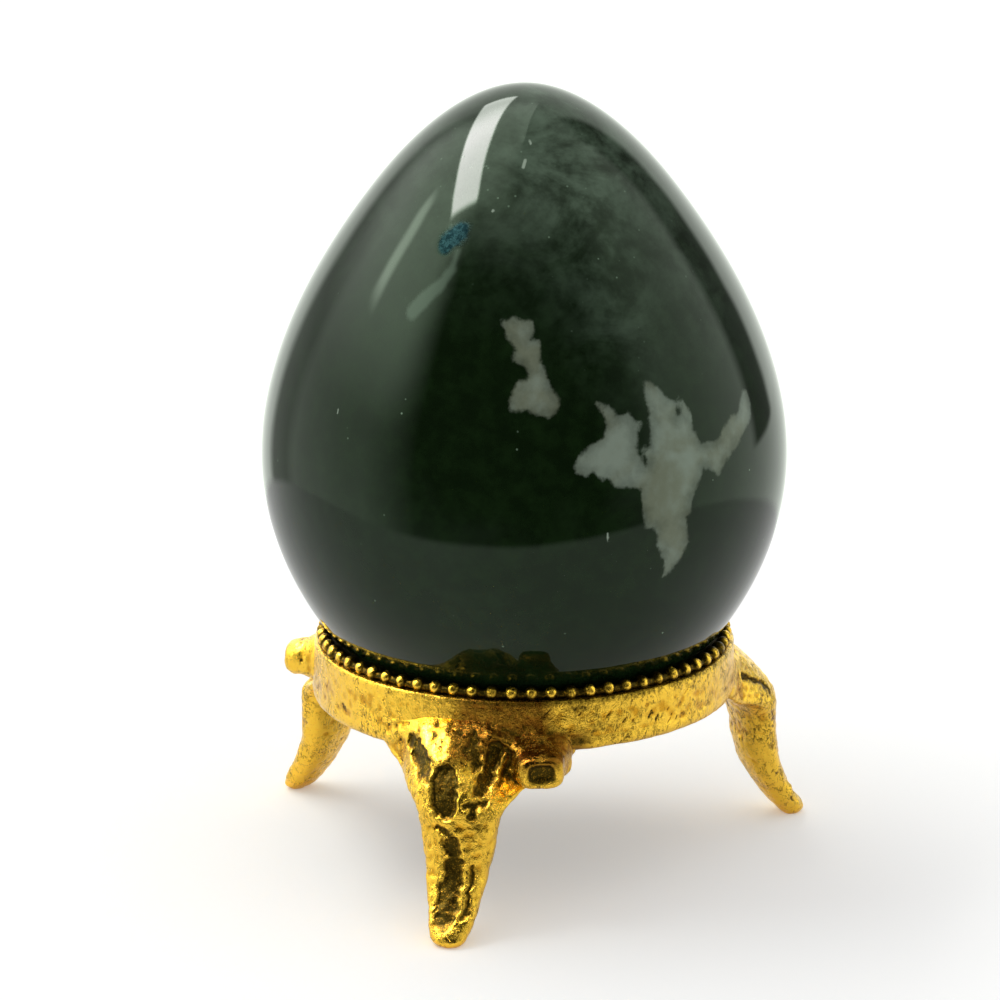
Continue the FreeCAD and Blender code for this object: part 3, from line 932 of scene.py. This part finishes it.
class EGGSTAND_OT_cast_legs(bpy.types.Operator):
    """Casts the three legs with knee, shoulders, scroll end, sunk fields and toe"""
    bl_idname = "eggstand.cast_legs"
    bl_label = "Cast legs"

    def execute(self, context):
        settings = context.scene.stand_settings
        self.reach = settings.leg_reach / MM
        self.spread = settings.leg_spread / MM
        self.lip = ring_high.x / MM
        self.underside = ring_low.z / MM
        self.scroll_angle = self.spread / 2 * SCROLL_PLACE_SHARE / self.lip
        ring_height = (ring_high.z - ring_low.z) / MM
        share = LEG_SECTIONS[:, 0]
        self.heights = np.minimum(share, 1) * self.underside + np.maximum(share - 1, 0) * ring_height
        for number, node in enumerate(LEG_ANGLES):
            self.cast(settings, node, number)
        return {"FINISHED"}

    def cast(self, settings, node, number):
        parts = [self.shaft(), self.scroll(SCROLL_RISES[node], *SCROLL_SHAPES[node]), self.seat()]
        points, faces = np.empty((0, 3)), []
        for part_points, part_faces in parts:
            faces += [tuple(len(points) + i for i in face) for face in part_faces]
            points = np.vstack([points, part_points])
        leg = make_object(node + "_casting", points, faces)
        fuse_surface(leg, LEG_VOXEL)
        self.braze(leg)
        add_unevenness(leg, 1.9, 0.13, 11.3 + number * 4.7)
        add_unevenness(leg, 0.6, 0.06, 21.9 + number * 3.9)
        patina = self.carve(leg, LEG_RELIEF[node])
        points = mesh_points(leg)
        points[:, 2] = np.maximum(points[:, 2], 0)
        set_points(leg, points)
        store_hollows(leg, 40, 0.08)
        self.store_fields(leg, node, patina)
        angle = math.radians(LEG_ANGLES[node])
        cosine, sine = math.cos(angle), math.sin(angle)
        points[:, :2] = points[:, :2] @ np.array([(cosine, sine), (-sine, cosine)])
        set_points(leg, points)
        leg.data.materials.append(gilt_material("worn gilt legs", settings, CAST_GRAIN))
        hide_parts(node)
        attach(leg, "stand")

    def carve(self, leg, relief):
        """Raises the casting's folds and sinks its fields: returns how much patina is left at each point."""
        points = mesh_points(leg)
        radius, turn = polar(points)
        degree = math.radians(1) * LEG_FACE
        across, above = turn * LEG_FACE, points[:, 2].copy()
        # Noise bends the outlines, so that no field is a plain stroke.
        for size, amount in ((1.5, 0.42), (0.55, 0.22)):
            for values, shift in ((across, 4.0), (above, 9.0)):
                values += amount * np.array([noise.noise((x, y, z + shift)) for x, y, z in (points / size).tolist()])
        out, patina = np.zeros(len(points)), np.zeros(len(points))
        for a0, z0, a1, z1, half, rise, left in relief:
            far = segment_distance(across, above, a0 * degree, z0, a1 * degree, z1)
            if rise < 0:
                step = np.clip((half - far) / 0.55 + 0.5, 0, 1)
                out = np.minimum(out, rise * step * step * (3 - 2 * step))
                patina = np.maximum(patina, left * np.clip((half - far) / 0.8 + 0.62, 0, 1))
            else:
                out = out + rise * np.clip(1 - (far / (half * 1.9)) ** 2, 0, 1) ** 2
        facing = ramp(facing_out(leg), 0.05, 0.40)
        points[:, :2] *= (1 + out * facing / radius)[:, None]
        set_points(leg, points)
        return patina * facing

    def shaft(self):
        """The leg itself: level sections with a web behind and the knee's swell in front."""
        heights = np.concatenate([[0.0], np.arange(0.08, self.heights[-1], 0.12), [self.heights[-1]]])
        inner, web, knee, width = curve_through(self.heights, LEG_SECTIONS[:, 1:], heights).T[:, :, None]
        columns = 260
        turn = full_turn(columns)
        inner, web = self.lip + self.reach * inner, self.lip + self.reach * web
        middle = (inner + web) / 2
        offset = self.spread / 2 * width * np.cos(turn)
        swell = np.clip(1 - ((offset + KNEE_SHIFT) / KNEE_HALF_SPREAD) ** 2, 0, 1) ** KNEE_FULLNESS
        sine = np.sin(turn)
        depth = (web - middle) * np.sign(sine) * np.abs(sine) ** SECTION_FULLNESS
        depth = depth + (sine > 0) * (self.lip + self.reach * knee - web) * swell
        points = turned(middle + depth, offset / middle, heights[:, None])
        ends = [points[0].mean(0), points[-1].mean(0)]
        return np.vstack([points.reshape(-1, 3), *ends]), capped_faces(len(heights), columns)

    def scroll(self, rise, square, wide, high, shift, dome, flat):
        """The scroll end at the right of the knee, flared at its root, with its face sunk."""
        out, side = turned(1.0, self.scroll_angle, 0.0), turned(1.0, self.scroll_angle + math.pi / 2, 0.0)
        height = self.underside + rise
        far = self.lip + SCROLL_REACH
        # Distance out from the axis, and size of the section there as a share of the full one.
        rings = [(self.lip - 1.2, 1.55), (self.lip + 0.2, 1.5), (self.lip + 0.9, 1.28), (self.lip + 1.7, 1.1)]
        for t in np.linspace(0, math.pi / 2, 7):
            rings.append((far - dome * (1 - math.sin(t)), 1.05 * (flat + (1 - flat) * math.cos(t))))
        rings += [(far - 0.05, flat * 0.92), (far - 0.3, flat * 0.78), (far - 0.36, flat * 0.5)]
        turn = full_turn(48)
        across, above = (size * np.sign(wave) * np.abs(wave) ** square
                         for size, wave in ((wide, np.cos(turn)), (high, np.sin(turn))))
        points = []
        for reach, share in rings:
            middle = out * reach + side * shift + (0, 0, height + 0.5 * max(0, share - 1) * high)
            points += [middle + side * a * share + (0, 0, z * share) for a, z in zip(across, above)]
        points += [out * rings[end][0] + side * shift + (0, 0, height) for end in (0, -1)]
        return np.array(points), [face[::-1] for face in capped_faces(len(rings), turn.size)]

    def seat(self):
        """The flange that the leg is brazed on with: it feathers out over the ring's face."""
        columns = 90
        points = []
        for turn in np.linspace(-FLANGE_HALF_SPREAD, FLANGE_HALF_SPREAD, columns):
            out = self.lip - 0.12 + 0.26 * (1 - (turn / FLANGE_HALF_SPREAD) ** 2)
            profile = [(FLANGE_BACK, 0.6), (out - 0.5, 0.45), (out, 0.9), (out - 0.02, 1.7), (out - 0.08, 2.3),
                       (self.lip - 0.6, 3.0), (FLANGE_BACK, 3.0)]
            points += [turned(radius, turn, self.underside + height) for radius, height in profile]
        rows = len(profile)
        faces = hoop_faces(columns, rows, closed=False)
        faces += [tuple(reversed(range(rows))), tuple(range((columns - 1) * rows, columns * rows))]
        return np.array(points), faces

    def braze(self, leg):
        """Fills the corners between leg, scroll and ring with a soft fillet."""
        edges = mesh_edges(leg)
        points = relax(mesh_points(leg), edges, 2)
        set_points(leg, points)
        settled = relax(points, edges, 90)
        inward = ((settled - points) * mesh_normals(leg)).sum(1)
        near = ramp(points[:, 2], self.underside - 2.2, self.underside - 0.8)
        near = near * ramp(polar(points)[0], self.lip + 2.6, self.lip + 1.4)
        set_points(leg, points + (settled - points) * (ramp(inward, 0, 0.05) * near)[:, None])

    def store_fields(self, leg, node, patina):
        """The patina in the sunk fields, in the scroll's face and in its corners, and the tint on the front knee,
        which also paints a dark reflection there.
        """
        points, outward = mesh_points(leg), facing_out(leg)
        radius, angle = polar(points)
        _, wide, high, shift, _, flat = SCROLL_SHAPES[node]
        across = (angle - self.scroll_angle) * radius - shift
        above = points[:, 2] - self.underside - SCROLL_RISES[node]
        inside = 1 - ((across / (wide * flat)) ** 4 + (above / (high * flat)) ** 4) ** 0.25
        on_scroll = np.clip(inside * 2.2 + 0.5, 0, 1) * (radius > self.lip + 3.0) * (outward > 0.2)
        beside = np.clip(1.4 - np.abs(across) / wide, 0, 1) * np.clip(1.5 - np.abs(above) / high, 0, 1)
        crevice = 0.5 * np.clip(beside * 3, 0, 1) * np.clip(1 - np.abs(radius - self.lip - 0.9) / 1.1, 0, 1)
        store(leg, "field", np.maximum(np.maximum(patina, on_scroll), crevice))
        degrees, height = np.degrees(angle), points[:, 2]
        # The coppery tint on the front knee also paints a dark reflection there.
        tint = ramp(height, 14.6, 16.0) * ramp(degrees, -8, -2) * ramp(degrees, 30, 26)
        tint = tint * (1 - ramp(degrees, 19, 22) * ramp(height, 17.6, 18.4))
        store(leg, "tint", tint * (node == "leg_front"))


# ---- Stage ----

def room_light(tree, direction):
    """How bright the room is where polished surfaces mirror it, by direction, and where its window is."""
    x, y, z = tree.split(direction)
    azimuth, height = x.math("ARCTAN2", y * -1.0).math("DEGREES"), z.math("ARCSINE").math("DEGREES")
    walls = tree.node("ShaderNodeValToRGB", {"Fac": azimuth.span(-180.0, 180.0, smooth=False)})
    elements = walls.color_ramp.elements
    while len(elements) < len(WALL_LEVELS):
        elements.new(0.5)
    for element, (degrees, level) in zip(elements, WALL_LEVELS):
        element.position = (degrees + 180) / 360
        element.color = (level, level, level, 1)
    # On the right the dark strip ends over a pale table edge.
    table = azimuth.span(100.0, 110.0) * height.span(-7.0, -8.5)
    level = tree.mix_value(table, tree.outputs(walls)["Color"], 1.4)
    # The left wall is brightest over the egg, with a thin brighter gap beside the window.
    left_wall = azimuth.near(-84.0, 50.0, 28.0) * height.near(42.0, 36.0, 6.0)
    gap = azimuth.near(-84.0, 5.5, 1.0) * height.near(35.0, 11.0, 5.0)
    ceiling = tree.mix_value(azimuth.span(-50.0, 10.0), 3.2, 1.1)
    level = tree.mix_value(height.span(50.0, 66.0), level + left_wall * 2.6 + gap * 5.5, ceiling)
    # The window is a long pale panel over the left of the egg, narrower and brighter towards the front.
    over = z.most(0.05)
    aside, along = x / over, y / over
    window = aside.span(-0.765, -0.725) * (aside - along * 0.08).span(-0.375, -0.415)
    window = window * along.span(-0.46, -0.40) * along.span(0.95, 0.86) * along.span(0.10, 0.75, 1.0, 0.32)
    window = window * z.span(0.2, 0.3)
    return level + window * WINDOW_LEVEL, window


class EGGSTAND_OT_set_stage(bpy.types.Operator):
    """Lays the paper floor and sets the room, the window light and the camera"""
    bl_idname = "eggstand.set_stage"
    bl_label = "Floor, light and camera"

    def execute(self, context):
        settings = context.scene.stage_settings
        self.lay_floor(settings)
        self.light_room(context.scene)
        self.place_camera(context.scene, settings)
        context.scene.view_settings.view_transform = "Standard"
        return {"FINISHED"}

    @staticmethod
    def lay_floor(settings):
        columns = 96
        points = np.vstack([(0, 0, 0), turned(FLOOR_RADIUS, full_turn(columns), 0)])
        floor = make_object("paper_floor", points, fan_faces(0, 1, columns, True))
        material, tree = new_material("pale paper")
        place = tree.place()
        color = tree.mix(tree.noise(place, 900.0, 3.0, 0.6), rgba(settings.floor_color),
                         shade(settings.floor_color, 1.03))
        rays = tree.outputs(tree.node("ShaderNodeLightPath"))
        paper = tree.principled({"Base Color": color, "Roughness": 0.9, "Specular IOR Level": 0.0})
        glow = tree.output(0, "ShaderNodeEmission", {
            "Color": (1, 1, 1, 1), "Strength": tree.mix_value(rays["Is Camera Ray"], 0.12, 0.24)})
        lit = tree.output(0, "ShaderNodeAddShader", {0: paper, 1: glow})
        shown = tree.mix_shader(rays["Is Camera Ray"].most(rays["Is Glossy Ray"]), paper, lit)
        # The sheet of paper ends: in polished surfaces the room shows beyond its edge.
        x, y, _ = tree.split(place)
        reach = ((x * 0.62).math("POWER", 2.0) + y.math("POWER", 2.0)).math("SQRT")
        beyond = reach.span(0.090, 0.104) * rays["Is Glossy Ray"]
        tree.surface(tree.mix_shader(beyond, shown, tree.output(0, "ShaderNodeBsdfTransparent")))
        floor.data.materials.append(material)

    @staticmethod
    def light_room(scene):
        world = bpy.data.worlds.new("studio")
        world.use_nodes = True
        world.node_tree.nodes.clear()
        scene.world = world
        tree = Tree(world.node_tree)
        room, window = room_light(tree, tree.output("Generated", "ShaderNodeTexCoord"))
        rays = tree.outputs(tree.node("ShaderNodeLightPath"))
        level = tree.mix_value(rays["Is Glossy Ray"], 0.68, room)
        level = tree.mix_value(rays["Is Camera Ray"], level, 1.0)
        color = tree.mix(window, (0.94, 1.0, 0.92, 1), (1.0, 0.86, 0.97, 1))
        color = tree.mix(rays["Is Glossy Ray"], (1, 1, 1, 1), color)
        sky = tree.output(0, "ShaderNodeBackground", {"Color": color, "Strength": level})
        tree.surface(sky, "ShaderNodeOutputWorld")
        # The window's soft light: its mirror image comes from the room itself.
        panel = bpy.data.lights.new("window", "AREA")
        panel.shape = "RECTANGLE"
        panel.size, panel.size_y = 0.21, 0.78
        panel.energy = 1.8
        panel.color = (0.97, 1.0, 0.95)
        lamp = bpy.data.objects.new("window", panel)
        lamp.location = (-0.333, 0.13, 0.667)
        lamp.visible_glossy = False
        scene.collection.objects.link(lamp)

    @staticmethod
    def place_camera(scene, settings):
        azimuth, elevation = settings.azimuth, settings.elevation
        back = Vector((math.sin(azimuth) * math.cos(elevation), -math.cos(azimuth) * math.cos(elevation),
                       math.sin(elevation)))
        across = Vector((math.cos(azimuth), math.sin(azimuth), 0))
        camera = bpy.data.cameras.new("camera")
        camera.sensor_width = 36
        camera.lens = settings.lens
        camera.clip_start, camera.clip_end = 0.01, 20
        holder = bpy.data.objects.new("camera", camera)
        holder.location = across * AIM_ASIDE + Vector((0, 0, AIM_HEIGHT)) + back * settings.distance
        holder.rotation_mode = "QUATERNION"
        holder.rotation_quaternion = (-back).to_track_quat("-Z", "Y")
        scene.collection.objects.link(holder)
        scene.camera = holder


class EGGSTAND_PT_panel(bpy.types.Panel):
    """Settings and steps of the egg stand"""
    bl_label = "Egg stand"
    bl_idname = "EGGSTAND_PT_panel"
    bl_space_type = "VIEW_3D"
    bl_region_type = "UI"
    bl_category = "Egg stand"

    def draw(self, context):
        for title, settings, steps in (
                ("Egg", context.scene.egg_settings, ("eggstand.polish_egg",)),
                ("Stand", context.scene.stand_settings,
                 ("eggstand.turn_ring", "eggstand.bead_rim", "eggstand.cast_legs")),
                ("Stage", context.scene.stage_settings, ("eggstand.set_stage",))):
            box = self.layout.box()
            box.label(text=title)
            for key in settings.bl_rna.properties.keys():
                if key not in ("rna_type", "name"):
                    box.prop(settings, key)
            for step in steps:
                box.operator(step)


CLASSES = (
    EggSettings, StandSettings, StageSettings, EGGSTAND_OT_polish_egg, EGGSTAND_OT_turn_ring,
    EGGSTAND_OT_bead_rim, EGGSTAND_OT_cast_legs, EGGSTAND_OT_set_stage, EGGSTAND_PT_panel,
)


def register():
    for made in CLASSES:
        bpy.utils.register_class(made)
    bpy.types.Scene.egg_settings = PointerProperty(type=EggSettings)
    bpy.types.Scene.stand_settings = PointerProperty(type=StandSettings)
    bpy.types.Scene.stage_settings = PointerProperty(type=StageSettings)


def unregister():
    del bpy.types.Scene.egg_settings
    del bpy.types.Scene.stand_settings
    del bpy.types.Scene.stage_settings
    for made in reversed(CLASSES):
        bpy.utils.unregister_class(made)


def main():
    register()
    bpy.ops.eggstand.polish_egg()
    bpy.ops.eggstand.turn_ring()
    bpy.ops.eggstand.bead_rim()
    bpy.ops.eggstand.cast_legs()
    bpy.ops.eggstand.set_stage()


if __name__ == "__main__":
    main()
